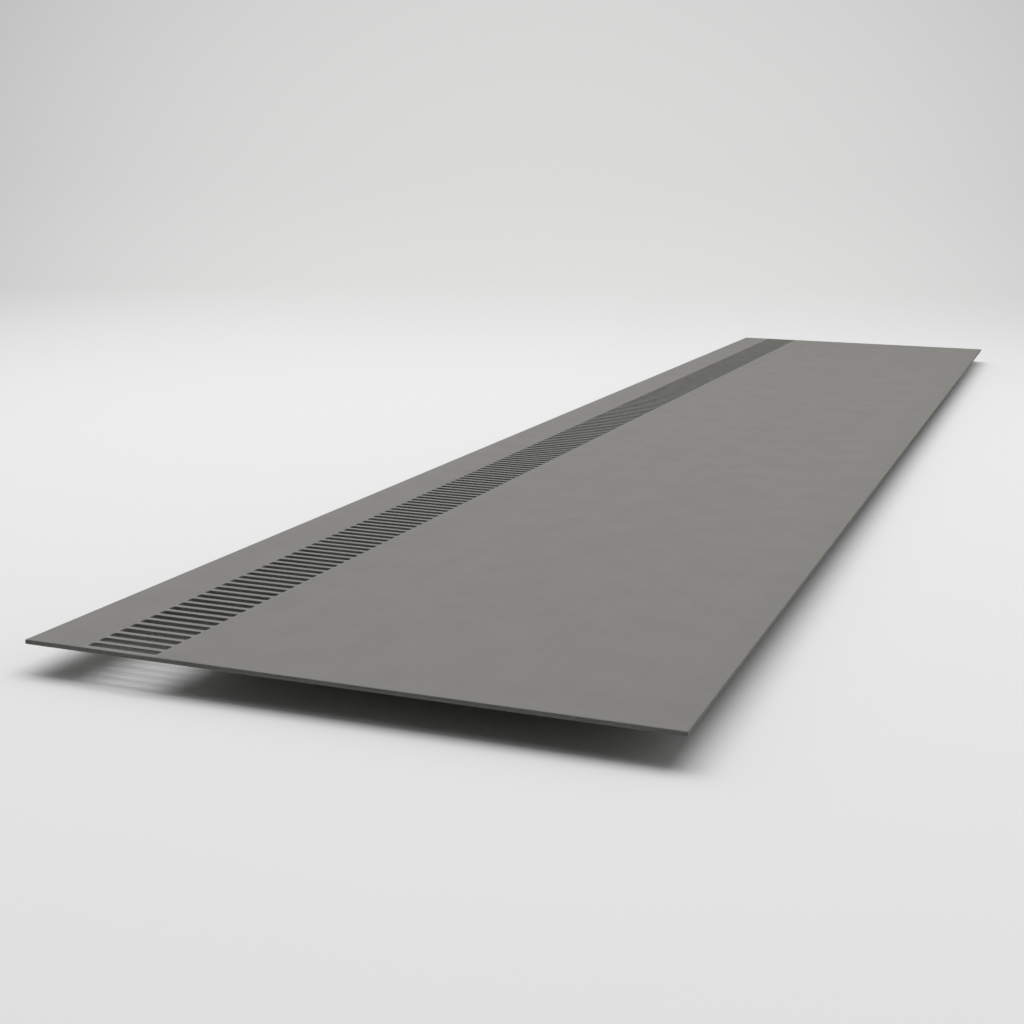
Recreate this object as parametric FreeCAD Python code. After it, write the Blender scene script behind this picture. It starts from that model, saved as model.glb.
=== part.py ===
import FreeCAD, Part
import os
from math import floor

os.makedirs("parts", exist_ok=True)

# Vented soffit board: one flat fibre-cement eaves lining sheet with one row of slots, in millimetres.
# The sheet lies flat. The origin is the middle of its back face, and the show face looks up along +Z.
# The length runs along Y and the width along X, with the row of slots beside the -X long edge.

# Sheet
board_width = 600.0
board_length = 3000.0
board_thickness = 4.0
edge_arris = 0.3

# Air slots: each runs across the width, and the row of them runs along the length
slot_length = 70.0
slot_width = 10.0
web_width = 6.0
slot_corner_ease = 1.2
band_edge_distance = 60.0
least_end_web = 6.0

# Worked out from the sizes above
half_width = board_width / 2
half_length = board_length / 2
slot_pitch = slot_width + web_width
slot_mid_x = -half_width + band_edge_distance + slot_length / 2
count_tolerance = 1e-6
slot_run = board_length - 2 * least_end_web
slot_count = floor((slot_run - slot_width) / slot_pitch + count_tolerance) + 1
first_slot_y = -(slot_count - 1) * slot_pitch / 2


def closed_wire(corners):
    """A closed wire through (x, y) corners in the plane of the back face."""
    points = [FreeCAD.Vector(x, y, 0) for x, y in corners]
    return Part.makePolygon(points + points[:1])


def sheet_outline():
    """The sheet's outer rectangle."""
    return closed_wire([
        (-half_width, -half_length),
        (half_width, -half_length),
        (half_width, half_length),
        (-half_width, half_length),
    ])


def slot_outline(mid_y):
    """One slot: straight sides and straight ends, with its four corners eased at 45 degrees."""
    end = slot_length / 2
    side = slot_width / 2
    eased_end = end - slot_corner_ease
    eased_side = side - slot_corner_ease
    corners = [
        (-eased_end, -side),
        (eased_end, -side),
        (end, -eased_side),
        (end, eased_side),
        (eased_end, side),
        (-eased_end, side),
        (-end, eased_side),
        (-end, -eased_side),
    ]
    return closed_wire([(slot_mid_x + x, mid_y + y) for x, y in corners])


def on_outer_edge(edge):
    """True for an edge of the sheet's rim that lies in the show face or in the back face."""
    box = edge.BoundBox
    reach = 1e-3
    level = box.ZLength < reach
    on_side = box.XLength < reach and abs(abs(box.Center.x) - half_width) < reach
    on_end = box.YLength < reach and abs(abs(box.Center.y) - half_length) < reach
    return level and (on_side or on_end)


def soffit_board():
    """The slotted sheet, with the arris taken off all round both faces."""
    slots = [slot_outline(first_slot_y + i * slot_pitch) for i in range(slot_count)]
    section = Part.makeFace([sheet_outline()] + slots, "Part::FaceMakerBullseye")
    sheet = section.extrude(FreeCAD.Vector(0, 0, board_thickness))
    rim = [edge for edge in sheet.Edges if on_outer_edge(edge)]
    return sheet.makeChamfer(edge_arris, rim)


board = soffit_board()
board.exportStep("parts/soffit_board.step")
print("slots", slot_count, "pitch", slot_pitch, "volume mm3", round(board.Volume), "valid", board.isValid())
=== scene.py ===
"""Looks of a vented soffit board: a grey fibre-cement eaves sheet with one row of air slots.

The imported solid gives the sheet's box. The board is built here again with round slot corners and eased
arrises, dressed in procedural fibre cement, and shown just above a pale studio floor under soft light.
"""

import logging
import math
from dataclasses import dataclass, field
from enum import Enum
from typing import Any, Iterator

import bmesh
import bpy
from mathutils import Matrix, Vector


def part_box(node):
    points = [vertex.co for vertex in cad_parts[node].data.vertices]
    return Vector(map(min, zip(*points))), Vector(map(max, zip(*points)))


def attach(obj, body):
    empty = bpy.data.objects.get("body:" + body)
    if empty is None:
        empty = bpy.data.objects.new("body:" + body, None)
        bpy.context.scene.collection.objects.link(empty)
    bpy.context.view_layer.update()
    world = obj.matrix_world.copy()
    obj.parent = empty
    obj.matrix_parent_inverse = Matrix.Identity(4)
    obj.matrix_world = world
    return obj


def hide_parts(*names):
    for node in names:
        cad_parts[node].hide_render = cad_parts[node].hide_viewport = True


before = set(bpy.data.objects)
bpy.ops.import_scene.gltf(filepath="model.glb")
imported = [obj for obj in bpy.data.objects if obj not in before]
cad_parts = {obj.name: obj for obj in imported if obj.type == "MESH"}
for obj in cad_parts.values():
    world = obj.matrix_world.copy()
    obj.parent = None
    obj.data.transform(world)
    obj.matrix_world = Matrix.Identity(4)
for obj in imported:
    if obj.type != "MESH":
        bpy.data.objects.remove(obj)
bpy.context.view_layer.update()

log = logging.getLogger("soffit_board")

MM = 0.001
MICRONS_PER_MM = 1000
BOARD_NODE = "soffit_board"
BODY = "root"

# Input and output places of the colour form of a mix node, which shares its names with the other forms
MIX_FACTOR = 0
MIX_A = 6
MIX_B = 7
MIX_RESULT = 2

# The sRGB curve: a straight foot, and a power law above it
SRGB_KNEE = 0.04045
SRGB_FOOT_SLOPE = 12.92
SRGB_OFFSET = 0.055
SRGB_POWER = 2.4

# How many radians a wave texture of scale 1 turns through in a metre
WAVE_TURN = 20.0

# The sides that a slot's corners lie on, across and along the sheet, anticlockwise from the lower right one
CORNERS = ((1, -1), (1, 1), (-1, 1), (-1, -1))

# Mesh columns in the band of slots: the two ends of a slot's patch, and the straight between them
BAND_COLUMNS = 3

Point = tuple[float, float]
Reach = tuple[float, float]
Colour = tuple[float, float, float, float]


def linear(hex_colour: str) -> Colour:
    """Turns an sRGB hex colour into the linear colour that the shaders use.

    Args:
        hex_colour: Six hex digits after a hash sign.

    Returns:
        Red, green, blue and an alpha of 1, all linear.
    """
    channels = []
    for start in (1, 3, 5):
        value = int(hex_colour[start:start + 2], 16) / 255
        if value <= SRGB_KNEE:
            channels.append(value / SRGB_FOOT_SLOPE)
        else:
            channels.append(((value + SRGB_OFFSET) / (1 + SRGB_OFFSET)) ** SRGB_POWER)
    return (channels[0], channels[1], channels[2], 1.0)


def add_node(
    tree: bpy.types.NodeTree,
    kind: str,
    inputs: dict[str | int, Any] | None = None,
    **settings: Any,
) -> bpy.types.Node:
    """Adds one node with its settings, values and links.

    Args:
        tree: The node tree that the node goes into.
        kind: The node's type name.
        inputs: Each input's name or place, with the value it takes or the output that is linked to it.
        **settings: Properties of the node itself.

    Returns:
        The new node.
    """
    node = tree.nodes.new(kind)
    for name, value in settings.items():
        setattr(node, name, value)
    for key, value in (inputs or {}).items():
        if isinstance(value, bpy.types.NodeSocket):
            tree.links.new(value, node.inputs[key])
        else:
            node.inputs[key].default_value = value
    return node


def cleared_tree(owner: bpy.types.Material | bpy.types.World) -> bpy.types.NodeTree:
    """Turns on the nodes of a new material or world and clears them.

    Args:
        owner: The material or world.

    Returns:
        Its empty node tree.
    """
    owner.use_nodes = True
    owner.node_tree.nodes.clear()
    return owner.node_tree


def placed(name: str, data: bpy.types.ID) -> bpy.types.Object:
    """Puts a new object in the scene.

    Args:
        name: The object's name.
        data: The mesh, lamp or camera that it holds.

    Returns:
        The new object.
    """
    made = bpy.data.objects.new(name, data)
    bpy.context.scene.collection.objects.link(made)
    return made


class Surface(Enum):
    """The board's surfaces, each with a finish of its own, in the order of the material slots."""

    SHOW_FACE = 0
    BACK_FACE = 1
    SAWN_EDGE = 2
    SLOT_WALL = 3


@dataclass(frozen=True)
class FibreCement:
    """What all the finishes of the sheet share: the same grey body, seen pressed, sawn or punched.

    Attributes:
        name: The material's name.
        body: The surface's colour.
        cloud: The colour of the slightly darker clouds in the cement body.
        fibre: The colour of the cellulose fibres that show at the surface.
        cloud_share: How much of the cloud colour shows at most.
        fibre_share: How much of the fibre colour shows at most.
        cloud_mm: The size of the clouds.
        grain_mm: The size of the sand and cement grain.
        grain_depth_mm: How far the grain stands up.
        roughness: The middle of the roughness range.
        roughness_swing: How far the roughness moves to each side over the clouds.
        gloss: The specular level. A porous cement skin mirrors far less than a sealed one.
        ior: The index of refraction, near that of hardened cement.
        cloud_reach: The noise's values where the clouds start and where they are densest.
        cloud_detail: How many finer layers the clouds have.
        grain_detail: How many finer layers the grain has.
        finer_weight: How strong each finer layer is beside the one before it.
        fibre_reach: The noise's values where a fibre starts and where it is whole.
        fibre_turns_deg: The directions that the fibres lie in.
        fibre_length_mm: A fibre's length.
        fibre_thickness_mm: The thickness that it is drawn with.
    """

    name: str
    body: str
    cloud: str
    fibre: str
    cloud_share: float
    fibre_share: float
    cloud_mm: float
    grain_mm: float
    grain_depth_mm: float
    roughness: float
    roughness_swing: float
    gloss: float
    ior: float = 1.5
    cloud_reach: Reach = (0.3, 0.7)
    cloud_detail: float = 4.0
    grain_detail: float = 3.0
    finer_weight: float = 0.55
    fibre_reach: Reach = (0.66, 0.74)
    fibre_turns_deg: tuple[float, ...] = (12.0, 71.0, 133.0)

    # Real fibres are about 3 mm long and 0.03 mm thick. They are drawn 0.5 mm thick, so that they show.
    fibre_length_mm: float = 3.0
    fibre_thickness_mm: float = 0.5

    def noise(
        self,
        tree: bpy.types.NodeTree,
        place: bpy.types.NodeSocket,
        size_mm: float,
        detail: float,
        stretch: tuple[float, float, float] = (1.0, 1.0, 1.0),
        turn_deg: float = 0.0,
    ) -> bpy.types.NodeSocket:
        """A noise whose features have a real size.

        Args:
            tree: The material's node tree.
            place: The position on the board, in metres.
            size_mm: The size of one feature.
            detail: How many finer layers are added.
            stretch: How many times longer a feature is along X, Y and Z.
            turn_deg: The turn of the stretched features about Z.

        Returns:
            The noise, from 0 to 1 about a middle of 0.5.
        """
        mapped = add_node(
            tree, "ShaderNodeMapping",
            {
                "Vector": place,
                "Rotation": (0.0, 0.0, math.radians(turn_deg)),
                "Scale": tuple(1.0 / s for s in stretch),
            },
        )
        texture = add_node(
            tree, "ShaderNodeTexNoise",
            {
                "Vector": mapped.outputs["Vector"],
                "Scale": 1.0 / (size_mm * MM),
                "Detail": detail,
                "Roughness": self.finer_weight,
            },
        )
        return texture.outputs["Fac"]

    def laid_over(
        self,
        tree: bpy.types.NodeTree,
        below: bpy.types.NodeSocket | Colour,
        above: str,
        pattern: bpy.types.NodeSocket,
        reach: Reach = (0.0, 1.0),
        share: float = 1.0,
    ) -> bpy.types.NodeSocket:
        """Lays one colour over another along a pattern.

        Args:
            tree: The material's node tree.
            below: The colour underneath.
            above: The hex colour on top.
            pattern: The value that the colour on top follows.
            reach: The pattern's values where the colour on top starts and where it shows most.
            share: How much of it shows at most.

        Returns:
            The two colours together.
        """
        start, full = reach
        cover = add_node(
            tree, "ShaderNodeMapRange",
            {"Value": pattern, "From Min": start, "From Max": full, "To Max": share},
            interpolation_type="SMOOTHSTEP",
        )
        mix = add_node(
            tree, "ShaderNodeMix",
            {MIX_FACTOR: cover.outputs["Result"], MIX_A: below, MIX_B: linear(above)},
            data_type="RGBA",
        )
        return mix.outputs[MIX_RESULT]

    def fibres(self, tree: bpy.types.NodeTree, place: bpy.types.NodeSocket) -> bpy.types.NodeSocket:
        """Short fibre flecks that lie in three directions in the sheet.

        Args:
            tree: The material's node tree.
            place: The position on the board, in metres.

        Returns:
            A value that is 1 on a fibre and 0 beside it.
        """
        stretch = (self.fibre_length_mm / self.fibre_thickness_mm, 1.0, 1.0)
        fibre_and_gap_mm = self.fibre_thickness_mm * 2
        start, whole = self.fibre_reach
        found = 0.0
        for turn_deg in self.fibre_turns_deg:
            layer = self.noise(tree, place, fibre_and_gap_mm, 0.0, stretch, turn_deg)
            fleck = add_node(
                tree, "ShaderNodeMapRange",
                {"Value": layer, "From Min": start, "From Max": whole},
                interpolation_type="SMOOTHSTEP",
            )
            both = add_node(
                tree, "ShaderNodeMath", {0: found, 1: fleck.outputs["Result"]}, operation="MAXIMUM"
            )
            found = both.outputs["Value"]
        return found

    def relief(
        self, tree: bpy.types.NodeTree, place: bpy.types.NodeSocket
    ) -> tuple[bpy.types.NodeSocket, float]:
        """The height of the surface's own texture, from 0 to 1, and how many millimetres 1 stands for."""
        return self.noise(tree, place, self.grain_mm, self.grain_detail), self.grain_depth_mm

    def tint(
        self, tree: bpy.types.NodeTree, place: bpy.types.NodeSocket, colour: bpy.types.NodeSocket
    ) -> bpy.types.NodeSocket:
        """The colour with what only this finish adds to it; the plain body adds nothing."""
        return colour

    def material(self) -> bpy.types.Material:
        """Builds the finish.

        Returns:
            The material, with colour, roughness and bump from its nodes.
        """
        made = bpy.data.materials.new(self.name)
        tree = cleared_tree(made)
        place = add_node(tree, "ShaderNodeTexCoord").outputs["Object"]
        clouds = self.noise(tree, place, self.cloud_mm, self.cloud_detail)
        body = linear(self.body)
        clouded = self.laid_over(tree, body, self.cloud, clouds, self.cloud_reach, self.cloud_share)
        flecks = self.fibres(tree, place)
        flecked = self.laid_over(tree, clouded, self.fibre, flecks, share=self.fibre_share)
        start, densest = self.cloud_reach
        roughness = add_node(
            tree, "ShaderNodeMapRange",
            {
                "Value": clouds,
                "From Min": start,
                "From Max": densest,
                "To Min": self.roughness - self.roughness_swing,
                "To Max": self.roughness + self.roughness_swing,
            },
            interpolation_type="SMOOTHSTEP",
        )
        height, depth_mm = self.relief(tree, place)
        bump = add_node(
            tree, "ShaderNodeBump", {"Height": height, "Strength": 1.0, "Distance": depth_mm * MM}
        )
        shader = add_node(
            tree, "ShaderNodeBsdfPrincipled",
            {
                "Base Color": self.tint(tree, place, flecked),
                "Roughness": roughness.outputs["Result"],
                "Normal": bump.outputs["Normal"],
                "IOR": self.ior,
                "Specular IOR Level": self.gloss,
            },
        )
        add_node(tree, "ShaderNodeOutputMaterial", {"Surface": shader.outputs["BSDF"]})
        return made


@dataclass(frozen=True)
class PressedFace(FibreCement):
    """Fibre cement pressed against a smooth plate and cured: flat, matt, faintly clouded and streaked.

    Attributes:
        streak: The colour of the faint lengthwise streaks that the making machine leaves.
        streak_share: How much of the streak colour shows at most.
        streak_width_mm: The width of one streak.
        streak_aspect: How many times longer than wide a streak is.
        streak_reach: The noise's values where a streak starts and where it shows most.
        streak_detail: How many finer layers the streaks have.
        web: The colour of the webs between the slots: a painted highlight, paler than the rest of the face.
        web_middle_mm: The middle of the row of webs, across the sheet.
        web_half_mm: From there to the webs' ends.
        web_blend_mm: How far past the webs' ends their tone runs out.
    """

    streak: str = "#7F7E7A"
    streak_share: float = 0.3
    streak_width_mm: float = 9.0
    streak_aspect: float = 90.0
    streak_reach: Reach = (0.35, 0.7)
    streak_detail: float = 2.0
    web: str = "#807F7B"
    web_middle_mm: float = -205.0
    web_half_mm: float = 35.0
    web_blend_mm: float = 2.0

    def tint(
        self, tree: bpy.types.NodeTree, place: bpy.types.NodeSocket, colour: bpy.types.NodeSocket
    ) -> bpy.types.NodeSocket:
        """Adds the lengthwise streaks, and a painted highlight that makes the webs between the slots paler.

        Args:
            tree: The material's node tree.
            place: The position on the board, in metres.
            colour: The colour so far.

        Returns:
            The colour with both over it.
        """
        stretch = (1.0, self.streak_aspect, 1.0)
        lines = self.noise(tree, place, self.streak_width_mm, self.streak_detail, stretch)
        streaked = self.laid_over(tree, colour, self.streak, lines, self.streak_reach, self.streak_share)
        # Painted highlight: the webs between the slots are drawn paler than the rest of the face.
        across = add_node(tree, "ShaderNodeSeparateXYZ", {"Vector": place}).outputs["X"]
        off = add_node(tree, "ShaderNodeMath", {0: across, 1: self.web_middle_mm * MM}, operation="SUBTRACT")
        aside = add_node(tree, "ShaderNodeMath", {0: off.outputs["Value"]}, operation="ABSOLUTE")
        web_reach = ((self.web_half_mm + self.web_blend_mm) * MM, self.web_half_mm * MM)
        return self.laid_over(tree, streaked, self.web, aside.outputs["Value"], web_reach)


@dataclass(frozen=True)
class FeltFace(FibreCement):
    """The back of the sheet, which lay on the machine's felt: rougher, with a faint woven print.

    Attributes:
        weave_mm: The pitch of the felt's weave. Real felt is near 1 mm; it is drawn 2.5 mm, so that it shows.
        weave_depth_mm: How deep the print is.
        weave_wander: How far the threads wander off their lines.
        weave_detail: How many finer layers that wandering has.
    """

    weave_mm: float = 2.5
    weave_depth_mm: float = 0.06
    weave_wander: float = 1.5
    weave_detail: float = 1.0

    def relief(
        self, tree: bpy.types.NodeTree, place: bpy.types.NodeSocket
    ) -> tuple[bpy.types.NodeSocket, float]:
        """Lays the woven print under the grain.

        Args:
            tree: The material's node tree.
            place: The position on the board, in metres.

        Returns:
            The height of the two together, and how many millimetres 1 stands for.
        """
        grain, grain_depth = super().relief(tree, place)
        waves = []
        for thread in ("X", "Y"):
            wave = add_node(
                tree, "ShaderNodeTexWave",
                {
                    "Vector": place,
                    "Scale": math.tau / (WAVE_TURN * self.weave_mm * MM),
                    "Distortion": self.weave_wander,
                    "Detail": self.weave_detail,
                },
                bands_direction=thread,
            )
            waves.append(wave.outputs["Fac"])
        woven = add_node(tree, "ShaderNodeMath", {0: waves[0], 1: waves[1]}, operation="MULTIPLY")
        grain_share = grain_depth / self.weave_depth_mm
        both = add_node(
            tree, "ShaderNodeMath",
            {0: grain, 1: grain_share, 2: woven.outputs["Value"]},
            operation="MULTIPLY_ADD",
        )
        return both.outputs["Value"], self.weave_depth_mm


@dataclass(frozen=True)
class CutFace(FibreCement):
    """A cut through the sheet, sawn or punched: its thin pressed layers show as faint level lines.

    Attributes:
        layer: The colour of the paler layers.
        layer_share: How much of the layer colour shows at most.
        layer_mm: The thickness of one layer of the sheet.
        layer_aspect: How many times longer than thick a layer's line is before it breaks.
        layer_depth_mm: How far the layers stand in and out.
        layer_reach: The noise's values where a paler layer starts and where it is whole.
        layer_detail: How many finer layers the noise has.
    """

    layer: str = "#7A7A75"
    layer_share: float = 0.4
    layer_mm: float = 0.7
    layer_aspect: float = 60.0
    layer_depth_mm: float = 0.05
    layer_reach: Reach = (0.35, 0.65)
    layer_detail: float = 1.0

    def layers(self, tree: bpy.types.NodeTree, place: bpy.types.NodeSocket) -> bpy.types.NodeSocket:
        """Level lines through the sheet's thickness.

        Args:
            tree: The material's node tree.
            place: The position on the board, in metres.

        Returns:
            A value that is 1 on a paler layer and 0 on the others.
        """
        stretch = (self.layer_aspect, self.layer_aspect, 1.0)
        start, whole = self.layer_reach
        lines = add_node(
            tree, "ShaderNodeMapRange",
            {
                "Value": self.noise(tree, place, self.layer_mm, self.layer_detail, stretch),
                "From Min": start,
                "From Max": whole,
            },
            interpolation_type="SMOOTHSTEP",
        )
        return lines.outputs["Result"]

    def tint(
        self, tree: bpy.types.NodeTree, place: bpy.types.NodeSocket, colour: bpy.types.NodeSocket
    ) -> bpy.types.NodeSocket:
        """The colour with the paler layers over it."""
        lines = self.layers(tree, place)
        return self.laid_over(tree, colour, self.layer, lines, share=self.layer_share)

    def relief(
        self, tree: bpy.types.NodeTree, place: bpy.types.NodeSocket
    ) -> tuple[bpy.types.NodeSocket, float]:
        """Lays the layers under the torn grain.

        Args:
            tree: The material's node tree.
            place: The position on the board, in metres.

        Returns:
            The height of the two together, and how many millimetres 1 stands for.
        """
        grain, grain_depth = super().relief(tree, place)
        both = add_node(
            tree, "ShaderNodeMath",
            {0: grain, 1: grain_depth / self.layer_depth_mm, 2: self.layers(tree, place)},
            operation="MULTIPLY_ADD",
        )
        return both.outputs["Value"], self.layer_depth_mm


# The show face reads as one even, slightly warm mid grey; its clouds and fibres only break the flatness.
# The webs between the slots are a touch paler: a painted highlight.
SHOW_FACE = PressedFace(
    name="pressed_fibre_cement_face",
    body="#7B7A76",
    cloud="#787773",
    fibre="#84837E",
    cloud_share=0.8,
    fibre_share=0.3,
    cloud_mm=55.0,
    grain_mm=1.1,
    grain_depth_mm=0.012,
    roughness=0.74,
    roughness_swing=0.03,
    gloss=0.2,
)
# The back reads darker and duller, with a faint woven print that breaks up the light that slides over it.
BACK_FACE = FeltFace(
    name="felt_marked_fibre_cement_back",
    body="#70706B",
    cloud="#6A6A65",
    fibre="#83827C",
    cloud_share=0.9,
    fibre_share=0.5,
    cloud_mm=40.0,
    grain_mm=0.9,
    grain_depth_mm=0.03,
    roughness=0.85,
    roughness_swing=0.05,
    gloss=0.15,
)
# The sawn edges read as a darker line round the sheet, and fine layers show. The darker tone is partly the
# saw's opened pores and partly painted shade, for edges that face away from the overhead light.
SAWN_EDGE = CutFace(
    name="sawn_fibre_cement_edge",
    body="#6C6C67",
    cloud="#666661",
    fibre="#83827C",
    cloud_share=0.8,
    fibre_share=0.4,
    cloud_mm=14.0,
    grain_mm=0.6,
    grain_depth_mm=0.03,
    roughness=0.88,
    roughness_swing=0.04,
    gloss=0.12,
)
# The slot walls' colour is painted shade: it is drawn much darker than the sawn edge, so that the slots read
# nearly black. The punch burnishes the walls as it passes, which gives them a dull shine, so the walls of the
# slots next to the near end mirror the pale floor in front and read paler.
SLOT_WALL = CutFace(
    name="slot_wall_with_painted_shade",
    body="#575753",
    cloud="#51514D",
    fibre="#6B6B66",
    cloud_share=0.8,
    fibre_share=0.4,
    cloud_mm=10.0,
    grain_mm=0.6,
    grain_depth_mm=0.02,
    roughness=0.3,
    roughness_swing=0.04,
    gloss=0.85,
)


@dataclass(frozen=True)
class EdgePoint:
    """A point of a closed outline in plan, with the direction in which the outline grows there.

    Attributes:
        x: Across the sheet.
        y: Along the sheet.
        out_x: The growth direction's part across the sheet.
        out_y: The growth direction's part along the sheet.
    """

    x: float
    y: float
    out_x: float
    out_y: float

    def grown(self, distance: float) -> Point:
        """The point with the outline grown by a distance, or shrunk by a negative one."""
        return (self.x + self.out_x * distance, self.y + self.out_y * distance)


@dataclass
class SoffitBoard:
    """The slotted sheet, in one mesh with no gap.

    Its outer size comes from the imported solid. The slot sizes are those of the solid, in millimetres.

    Attributes:
        slot_length: The slot's length across the sheet.
        slot_width: The slot's width along the sheet.
        web_width: What is left between two slots.
        band_edge_distance: From the long edge to the slots' near ends.
        least_end_web: The least that is left between the last slot and the sheet's end.
        slot_corner_radius: The round of the slot's corners in plan.
        slot_arris: The ease of the slot's mouths.
        rim_arris: The ease of the sheet's outer edges.
        corner_steps: How many flats make up a slot corner's quarter round.
        arris_steps: How many flats make up an arris.
        cell_margin: From the slot's end to the edge of its own patch of mesh.
        narrow_columns: Mesh columns in the narrow strip beside the slots.
        wide_columns: Mesh columns in the wide strip beside the slots.
        count_tolerance: How much of a pitch the room for a slot may fall short by.
        sharp_angle_deg: The turn between two faces above which their edge looks sharp.
        vertices: The vertices so far, by their places in microns.
    """

    slot_length: float = 70.0
    slot_width: float = 10.0
    web_width: float = 6.0
    band_edge_distance: float = 60.0
    least_end_web: float = 6.0
    slot_corner_radius: float = 2.0
    slot_arris: float = 0.12
    rim_arris: float = 0.3
    corner_steps: int = 5
    arris_steps: int = 2
    cell_margin: float = 5.0
    narrow_columns: int = 2
    wide_columns: int = 8
    count_tolerance: float = 0.001
    sharp_angle_deg: float = 50.0

    vertices: dict[tuple[int, int, int], bmesh.types.BMVert] = field(default_factory=dict, repr=False)

    def __post_init__(self) -> None:
        """Reads the sheet's box and works out the row of slots as the solid does."""
        low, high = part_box(BOARD_NODE)
        self.half_width = (high.x - low.x) / 2 / MM
        self.half_length = (high.y - low.y) / 2 / MM
        self.thickness = (high.z - low.z) / MM
        self.pitch = self.slot_width + self.web_width
        room = 2 * (self.half_length - self.least_end_web) - self.slot_width
        self.slot_count = math.floor(room / self.pitch + self.count_tolerance) + 1
        self.first_slot_y = -(self.slot_count - 1) * self.pitch / 2
        self.slot_mid_x = -self.half_width + self.band_edge_distance + self.slot_length / 2
        self.cell_half = self.slot_length / 2 + self.cell_margin
        self.straight_x = self.slot_length / 2 - self.slot_corner_radius
        self.straight_y = self.slot_width / 2 - self.slot_corner_radius

    def slot_places(self) -> list[float]:
        """The middle of each slot along the sheet."""
        return [self.first_slot_y + i * self.pitch for i in range(self.slot_count)]

    def vertex(self, mesh: bmesh.types.BMesh, x: float, y: float, z: float) -> bmesh.types.BMVert:
        """The one vertex at a place, made at its first use.

        Args:
            mesh: The mesh that the vertex belongs to.
            x: Across the sheet, in millimetres.
            y: Along the sheet, in millimetres.
            z: Through the sheet, in millimetres.

        Returns:
            The vertex, shared by all the faces that meet there.
        """
        micron = (round(x * MICRONS_PER_MM), round(y * MICRONS_PER_MM), round(z * MICRONS_PER_MM))
        if micron not in self.vertices:
            self.vertices[micron] = mesh.verts.new((x * MM, y * MM, z * MM))
        return self.vertices[micron]

    def columns(self) -> list[float]:
        """Sets out the mesh lines across the sheet.

        Returns:
            Their places, from the slotted edge to the plain edge.
        """
        left, right = -self.half_width + self.rim_arris, self.half_width - self.rim_arris
        cell_left, cell_right = self.slot_mid_x - self.cell_half, self.slot_mid_x + self.cell_half
        narrow = [left + (cell_left - left) * i / self.narrow_columns for i in range(self.narrow_columns)]
        band = [cell_left, self.slot_mid_x - self.straight_x, self.slot_mid_x + self.straight_x, cell_right]
        step = (right - cell_right) / self.wide_columns
        wide = [cell_right + step * (i + 1) for i in range(self.wide_columns)]
        return narrow + band + wide

    def rows(self) -> list[float]:
        """Sets out the mesh lines along the sheet.

        Returns:
            Their places, from the near end to the far end.
        """
        end = self.half_length - self.rim_arris
        lines = [-end]
        for middle in self.slot_places():
            lines += [middle - self.pitch / 2, middle - self.straight_y, middle + self.straight_y]
        lines += [self.slot_places()[-1] + self.pitch / 2, end]
        return lines

    def slot_outline(self, middle: float) -> list[EdgePoint]:
        """One slot's outline in plan, with round corners, anticlockwise from its lower right corner.

        Args:
            middle: The slot's middle along the sheet.

        Returns:
            The outline's points, each with its outward direction.
        """
        points = []
        for quarter, (side_x, side_y) in enumerate(CORNERS):
            for step in range(self.corner_steps + 1):
                angle = math.radians(90.0 * (quarter - 1 + step / self.corner_steps))
                out_x, out_y = math.cos(angle), math.sin(angle)
                x = self.slot_mid_x + side_x * self.straight_x + out_x * self.slot_corner_radius
                y = middle + side_y * self.straight_y + out_y * self.slot_corner_radius
                points.append(EdgePoint(x, y, out_x, out_y))
        return points

    def rim_outline(self) -> list[EdgePoint]:
        """Draws the sheet's outline in plan.

        Returns:
            Its points, anticlockwise, with one at every mesh line that meets it.
        """
        columns, rows = self.columns(), self.rows()
        inner_columns, inner_rows = columns[1:-1], rows[1:-1]
        w, l = self.half_width, self.half_length
        points = [EdgePoint(-w, -l, -1, -1)]
        points += [EdgePoint(x, -l, 0, -1) for x in inner_columns]
        points += [EdgePoint(w, -l, 1, -1)]
        points += [EdgePoint(w, y, 1, 0) for y in inner_rows]
        points += [EdgePoint(w, l, 1, 1)]
        points += [EdgePoint(x, l, 0, 1) for x in reversed(inner_columns)]
        points += [EdgePoint(-w, l, -1, 1)]
        points += [EdgePoint(-w, y, -1, 0) for y in reversed(inner_rows)]
        return points

    def slot_patch(self, middle: float) -> Iterator[list[Point]]:
        """The flat faces between one slot's mouth and the rectangle of mesh lines round it.

        Args:
            middle: The slot's middle along the sheet.

        Yields:
            Each face's corners in plan, anticlockwise.
        """
        mouth = [point.grown(self.slot_arris) for point in self.slot_outline(middle)]
        per_corner = self.corner_steps + 1
        half_pitch = self.pitch / 2
        outer = []
        for side_x, side_y in CORNERS:
            beside = (self.slot_mid_x + side_x * self.straight_x, middle + side_y * half_pitch)
            corner = (self.slot_mid_x + side_x * self.cell_half, middle + side_y * half_pitch)
            beyond = (self.slot_mid_x + side_x * self.cell_half, middle + side_y * self.straight_y)
            before, after = (beside, beyond) if side_x == -side_y else (beyond, beside)
            outer.append((before, corner, after))
        for quarter, (before, corner, after) in enumerate(outer):
            arc = mouth[quarter * per_corner:(quarter + 1) * per_corner]
            yield [arc[0], before, corner, arc[1]]
            for i in range(1, self.corner_steps - 1):
                yield [arc[i], corner, arc[i + 1]]
            yield [arc[-2], corner, after, arc[-1]]
            following = mouth[(quarter + 1) * per_corner % len(mouth)]
            yield [arc[-1], after, outer[(quarter + 1) % len(outer)][0], following]

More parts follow.
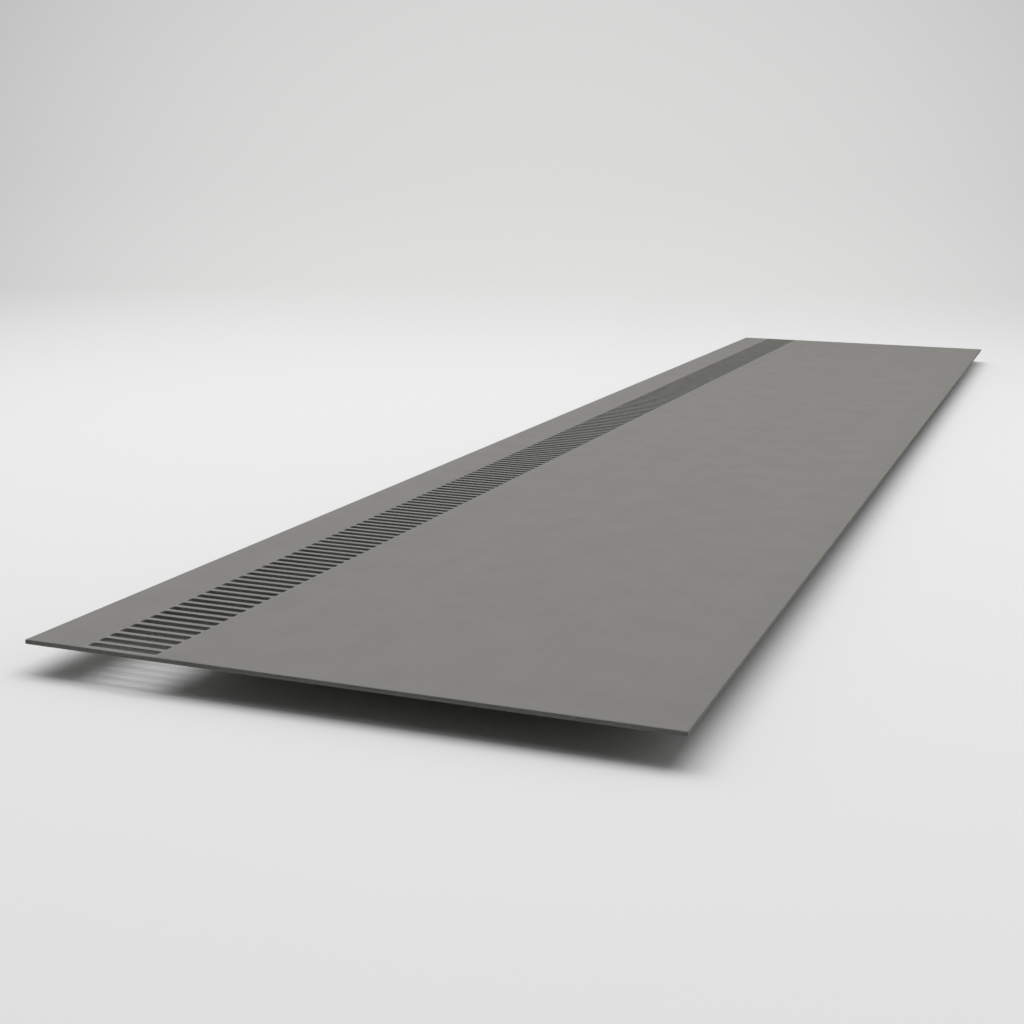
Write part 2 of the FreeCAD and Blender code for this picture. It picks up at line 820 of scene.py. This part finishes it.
    def flat_faces(self) -> Iterator[list[Point]]:
        """The flat of one side of the sheet, laid out in plan.

        Yields:
            Each face's corners, anticlockwise.
        """
        columns, rows = self.columns(), self.rows()
        band_left, band_right = self.narrow_columns, self.narrow_columns + BAND_COLUMNS
        for j in range(len(rows) - 1):
            in_end_web = j == 0 or j == len(rows) - 2
            for i in range(len(columns) - 1):
                if in_end_web or not band_left <= i < band_right:
                    x0, x1, y0, y1 = columns[i], columns[i + 1], rows[j], rows[j + 1]
                    yield [(x0, y0), (x1, y0), (x1, y1), (x0, y1)]
        for middle in self.slot_places():
            yield from self.slot_patch(middle)

    def arris_profile(self, size: float) -> list[Point]:
        """The section of a wall with an eased arris at both faces.

        Args:
            size: The radius of the arris.

        Returns:
            Pairs of how far the wall stands back there and its height, from the show face to the back.
        """
        turns = [math.radians(90.0 * i / self.arris_steps) for i in range(self.arris_steps + 1)]
        upper = [(size * (1 - math.sin(a)), self.thickness - size * (1 - math.cos(a))) for a in turns]
        lower = [(back, self.thickness - height) for back, height in reversed(upper)]
        return upper + lower

    def add_flat(self, mesh: bmesh.types.BMesh, height: float, surface: Surface) -> None:
        """Adds one side of the sheet, facing up for the show face and down for the back.

        Args:
            mesh: The mesh that the side belongs to.
            height: The side's height, in millimetres.
            surface: The surface that the side is.
        """
        for corners in self.flat_faces():
            ordered = corners if surface is Surface.SHOW_FACE else corners[::-1]
            face = mesh.faces.new([self.vertex(mesh, x, y, height) for x, y in ordered])
            face.material_index = surface.value

    def add_wall(
        self,
        mesh: bmesh.types.BMesh,
        outline: list[EdgePoint],
        arris: float,
        stands_back: int,
        surface: Surface,
    ) -> None:
        """Adds the wall below a closed outline, from the show face to the back.

        Args:
            mesh: The mesh that the wall belongs to.
            outline: The outline, anticlockwise.
            arris: The size of the wall's eased arrises.
            stands_back: 1 where the arris widens a hole, and -1 where it narrows the sheet.
            surface: The surface that the wall is.
        """
        profile = self.arris_profile(arris)
        for (back_a, height_a), (back_b, height_b) in zip(profile, profile[1:]):
            for here, there in zip(outline, outline[1:] + outline[:1]):
                quad = [
                    (*here.grown(stands_back * back_a), height_a),
                    (*here.grown(stands_back * back_b), height_b),
                    (*there.grown(stands_back * back_b), height_b),
                    (*there.grown(stands_back * back_a), height_a),
                ]
                if stands_back > 0:
                    quad.reverse()
                face = mesh.faces.new([self.vertex(mesh, *corner) for corner in quad])
                face.material_index = surface.value
                face.smooth = True

    def build(self) -> bpy.types.Object:
        """Builds the board's mesh and dresses it.

        Returns:
            The board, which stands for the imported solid.
        """
        mesh = bmesh.new()
        self.add_flat(mesh, self.thickness, Surface.SHOW_FACE)
        self.add_flat(mesh, 0.0, Surface.BACK_FACE)
        self.add_wall(mesh, self.rim_outline(), self.rim_arris, -1, Surface.SAWN_EDGE)
        for middle in self.slot_places():
            self.add_wall(mesh, self.slot_outline(middle), self.slot_arris, 1, Surface.SLOT_WALL)
        data = bpy.data.meshes.new("slotted_sheet")
        mesh.to_mesh(data)
        mesh.free()
        data.set_sharp_from_angle(angle=math.radians(self.sharp_angle_deg))
        for finish in (SHOW_FACE, BACK_FACE, SAWN_EDGE, SLOT_WALL):
            data.materials.append(finish.material())
        board = placed("slotted_sheet", data)
        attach(board, BODY)
        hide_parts(BOARD_NODE)
        return board


@dataclass
class StudioFloor:
    """A pale floor that fades into the backdrop all round. Its colour grows paler outwards: painted light.

    Attributes:
        drop: How far below the board's back face the floor lies.
        radius: How far the floor reaches.
        middle: The place that the fade and the paler rim lie round.
        fade_start: How far from it the floor starts to fade into the backdrop.
        fade_end: How far from it only the backdrop is left.
        colour: The floor's colour at the middle.
        rim_colour: Its colour far out, where the lamps reach it less: painted light, paler than the middle.
        rim_distance: How far from the middle the rim colour is reached.
        rim_power: How late the colour turns towards the rim's.
        sides: How many corners the round floor has.
    """

    drop: float = 28.0 * MM
    radius: float = 6.0
    middle: Point = (0.41, -0.32)
    fade_start: float = 1.0
    fade_end: float = 4.81
    colour: str = "#E2E2E2"
    rim_colour: str = "#F9F9F9"
    rim_distance: float = 4.18
    rim_power: float = 4.0
    sides: int = 96

    def material(self) -> bpy.types.Material:
        """Builds the finish: painted matt board that turns see-through towards its rim.

        Returns:
            The material.
        """
        made = bpy.data.materials.new("matt_painted_floor")
        tree = cleared_tree(made)
        place = add_node(tree, "ShaderNodeTexCoord").outputs["Object"]
        distance = add_node(
            tree, "ShaderNodeVectorMath", {0: place, 1: (*self.middle, 0.0)}, operation="DISTANCE"
        ).outputs["Value"]
        fade = add_node(
            tree, "ShaderNodeMapRange",
            {"Value": distance, "From Min": self.fade_start, "From Max": self.fade_end},
            interpolation_type="SMOOTHSTEP",
        )
        # Painted light: the floor's colour turns paler outwards from the middle.
        outwards = add_node(
            tree, "ShaderNodeMapRange", {"Value": distance, "From Max": self.rim_distance}
        )
        share = add_node(
            tree, "ShaderNodeMath", {0: outwards.outputs["Result"], 1: self.rim_power}, operation="POWER"
        )
        colour = add_node(
            tree, "ShaderNodeMix",
            {MIX_FACTOR: share.outputs["Value"], MIX_A: linear(self.colour), MIX_B: linear(self.rim_colour)},
            data_type="RGBA",
        )
        paint = add_node(tree, "ShaderNodeBsdfDiffuse", {"Color": colour.outputs[MIX_RESULT]})
        clear = add_node(tree, "ShaderNodeBsdfTransparent")
        mix = add_node(
            tree, "ShaderNodeMixShader",
            {0: fade.outputs["Result"], 1: paint.outputs["BSDF"], 2: clear.outputs["BSDF"]},
        )
        add_node(tree, "ShaderNodeOutputMaterial", {"Surface": mix.outputs["Shader"]})
        return made

    def build(self) -> bpy.types.Object:
        """Builds the floor.

        Returns:
            The floor.
        """
        mesh = bmesh.new()
        bmesh.ops.create_circle(mesh, cap_ends=True, segments=self.sides, radius=self.radius)
        data = bpy.data.meshes.new("studio_floor")
        mesh.to_mesh(data)
        mesh.free()
        data.materials.append(self.material())
        floor = placed("studio_floor", data)
        floor.location = (0.0, 0.0, -self.drop)
        return floor


def direction(azimuth_deg: float, elevation_deg: float) -> Vector:
    """The direction at an azimuth and an elevation.

    Args:
        azimuth_deg: The turn from +Y towards +X.
        elevation_deg: The slope above level.

    Returns:
        A vector of length 1.
    """
    azimuth, elevation = math.radians(azimuth_deg), math.radians(elevation_deg)
    level = math.cos(elevation)
    return Vector((math.sin(azimuth) * level, math.cos(azimuth) * level, math.sin(elevation)))


@dataclass(frozen=True)
class SideGlow:
    """Soft light from one side of the room, such as a pale wall gives.

    Attributes:
        azimuth_deg: Where it comes from, from +Y towards +X.
        elevation_deg: How high it comes from.
        strength: How bright it is at its middle.
        sharpness: The power of the cosine that it falls off with.
    """

    azimuth_deg: float
    elevation_deg: float
    strength: float
    sharpness: float = 4.0

    def brightness(self, tree: bpy.types.NodeTree, ray: bpy.types.NodeSocket) -> bpy.types.NodeSocket:
        """How bright the side is in a ray's direction.

        Args:
            tree: The world's node tree.
            ray: The ray's direction.

        Returns:
            The brightness, which is 0 behind the side's own half of the room.
        """
        middle = tuple(direction(self.azimuth_deg, self.elevation_deg))
        lean = add_node(tree, "ShaderNodeVectorMath", {0: ray, 1: middle}, operation="DOT_PRODUCT")
        value = lean.outputs["Value"]
        steps = (("MAXIMUM", 0.0), ("POWER", self.sharpness), ("MULTIPLY", self.strength))
        for operation, number in steps:
            step = add_node(tree, "ShaderNodeMath", {0: value, 1: number}, operation=operation)
            value = step.outputs["Value"]
        return value


@dataclass(frozen=True)
class Backdrop:
    """The pale backdrop that the eye meets beyond the floor, brightest in one direction.

    Attributes:
        middle: The colour in the brightest direction.
        rim: The colour away from it.
        azimuth_deg: Where the brightest direction is, from +Y towards +X.
        elevation_deg: How high it is.
        rim_angle_deg: How far from it the rim colour is reached.
        evenness: How slowly the colour leaves the middle's.
        upper: What is left of the brightness above the floor's horizon.
        upper_start: The ray's height at which the upper part starts.
        upper_end: The ray's height at which it is reached.
    """

    middle: str = "#DFDFDE"
    rim: str = "#C4C4C4"
    azimuth_deg: float = -19.25
    elevation_deg: float = -6.53
    rim_angle_deg: float = 22.7
    evenness: float = 1.45
    upper: float = 0.96
    upper_start: float = -0.074
    upper_end: float = 0.007

    def shader(self, tree: bpy.types.NodeTree, ray: bpy.types.NodeSocket) -> bpy.types.NodeSocket:
        """The backdrop's light.

        Args:
            tree: The world's node tree.
            ray: The ray's direction.

        Returns:
            A background shader's output.
        """
        brightest = tuple(direction(self.azimuth_deg, self.elevation_deg))
        facing = add_node(tree, "ShaderNodeVectorMath", {0: ray, 1: brightest}, operation="DOT_PRODUCT")
        away = add_node(
            tree, "ShaderNodeMapRange",
            {
                "Value": facing.outputs["Value"],
                "From Min": 1.0,
                "From Max": math.cos(math.radians(self.rim_angle_deg)),
            },
        )
        share = add_node(
            tree, "ShaderNodeMath", {0: away.outputs["Result"], 1: self.evenness}, operation="POWER"
        )
        colour = add_node(
            tree, "ShaderNodeMix",
            {MIX_FACTOR: share.outputs["Value"], MIX_A: linear(self.middle), MIX_B: linear(self.rim)},
            data_type="RGBA",
        )
        height = add_node(tree, "ShaderNodeSeparateXYZ", {"Vector": ray})
        level = add_node(
            tree, "ShaderNodeMapRange",
            {
                "Value": height.outputs["Z"],
                "From Min": self.upper_start,
                "From Max": self.upper_end,
                "To Min": 1.0,
                "To Max": self.upper,
            },
            interpolation_type="SMOOTHSTEP",
        )
        seen = add_node(
            tree, "ShaderNodeBackground",
            {"Color": colour.outputs[MIX_RESULT], "Strength": level.outputs["Result"]},
        )
        return seen.outputs["Background"]


@dataclass(frozen=True)
class SoftBox:
    """A lit cloth box that hangs over the board and faces down.

    Attributes:
        name: The lamp's name.
        place: The box's middle.
        size: The box's width and length.
        power: Its power in watts.
    """

    name: str
    place: tuple[float, float, float]
    size: tuple[float, float]
    power: float

    def build(self) -> bpy.types.Object:
        """Hangs the box, out of the camera's sight.

        Returns:
            The hung lamp.
        """
        lamp = bpy.data.lights.new(self.name, "AREA")
        lamp.shape = "RECTANGLE"
        lamp.size, lamp.size_y = self.size
        lamp.energy = self.power
        hung = placed(self.name, lamp)
        hung.location = self.place
        hung.visible_camera = False
        return hung


@dataclass
class StudioLight:
    """A soft box overhead with a wider one round it, and softer light from the sides and from behind.

    Attributes:
        boxes: The light overhead.
        glows: The light from the sides.
        backdrop: What the eye meets beyond the floor.
    """

    boxes: tuple[SoftBox, ...] = (
        SoftBox("inner_soft_box", (-0.80, 0.16, 6.0), (9.94, 4.6), 341.0),
        SoftBox("outer_soft_box", (-0.60, 0.33, 6.05), (8.06, 9.32), 146.0),
    )
    glows: tuple[SideGlow, ...] = (
        SideGlow(90.0, 10.0, 0.81),
        SideGlow(30.0, 10.0, 1.11),
        SideGlow(-60.0, 10.0, 1.35),
    )
    backdrop: Backdrop = Backdrop()

    def surroundings(self) -> bpy.types.World:
        """Builds the room: what lights the board from the sides, and the pale backdrop that the eye meets.

        Returns:
            The room, which the scene then uses.
        """
        room = bpy.data.worlds.new("studio_room")
        tree = cleared_tree(room)
        ray = add_node(tree, "ShaderNodeTexCoord").outputs["Generated"]
        total = 0.0
        for glow in self.glows:
            both = add_node(
                tree, "ShaderNodeMath", {0: total, 1: glow.brightness(tree, ray)}, operation="ADD"
            )
            total = both.outputs["Value"]
        fill = add_node(tree, "ShaderNodeBackground", {"Strength": total})
        path = add_node(tree, "ShaderNodeLightPath")
        shown = path.outputs["Is Camera Ray"]
        for kind in ("Is Glossy Ray", "Is Transmission Ray"):
            either = add_node(tree, "ShaderNodeMath", {0: shown, 1: path.outputs[kind]}, operation="MAXIMUM")
            shown = either.outputs["Value"]
        mix = add_node(
            tree, "ShaderNodeMixShader",
            {0: shown, 1: fill.outputs["Background"], 2: self.backdrop.shader(tree, ray)},
        )
        add_node(tree, "ShaderNodeOutputWorld", {"Surface": mix.outputs["Shader"]})
        bpy.context.scene.world = room
        return room

    def build(self) -> None:
        """Sets up the soft boxes and the room."""
        for box in self.boxes:
            box.build()
        self.surroundings()


@dataclass
class PhotoCamera:
    """The camera at the photograph's place and angle.

    Attributes:
        place: Where the camera stands.
        azimuth_deg: The turn of its view from +Y towards +X.
        elevation_deg: The slope of its view, negative for looking down.
        roll_deg: The turn about its view, positive for the right side up.
        lens_mm: The focal length.
        sensor_mm: The sensor's width.
    """

    place: tuple[float, float, float] = (0.5579, -2.5858, 0.4092)
    azimuth_deg: float = -20.308
    elevation_deg: float = -12.142
    roll_deg: float = 0.907
    lens_mm: float = 54.65
    sensor_mm: float = 36.0

    def build(self) -> bpy.types.Object:
        """Makes the camera and has the scene use it.

        Returns:
            The camera.
        """
        ahead = direction(self.azimuth_deg, self.elevation_deg)
        level_right = direction(self.azimuth_deg + 90.0, 0.0)
        right = Matrix.Rotation(math.radians(-self.roll_deg), 3, ahead) @ level_right
        up = right.cross(ahead)
        data = bpy.data.cameras.new("photo_camera")
        data.lens = self.lens_mm
        data.sensor_width = self.sensor_mm
        camera = placed("photo_camera", data)
        turned = Matrix((right, up, -ahead)).transposed().to_4x4()
        camera.matrix_world = Matrix.Translation(self.place) @ turned
        bpy.context.scene.camera = camera
        return camera


def main() -> None:
    """Builds the board, the floor, the light and the camera in order."""
    logging.basicConfig(level=logging.INFO, format="%(name)s: %(message)s")
    bpy.context.scene.view_settings.view_transform = "Standard"
    PhotoCamera().build()
    board = SoffitBoard()
    made = board.build()
    log.info("%s: %d slots, %d faces", made.name, board.slot_count, len(made.data.polygons))
    floor = StudioFloor().build()
    log.info("%s: stage", floor.name)
    StudioLight().build()


if __name__ == "__main__":
    main()
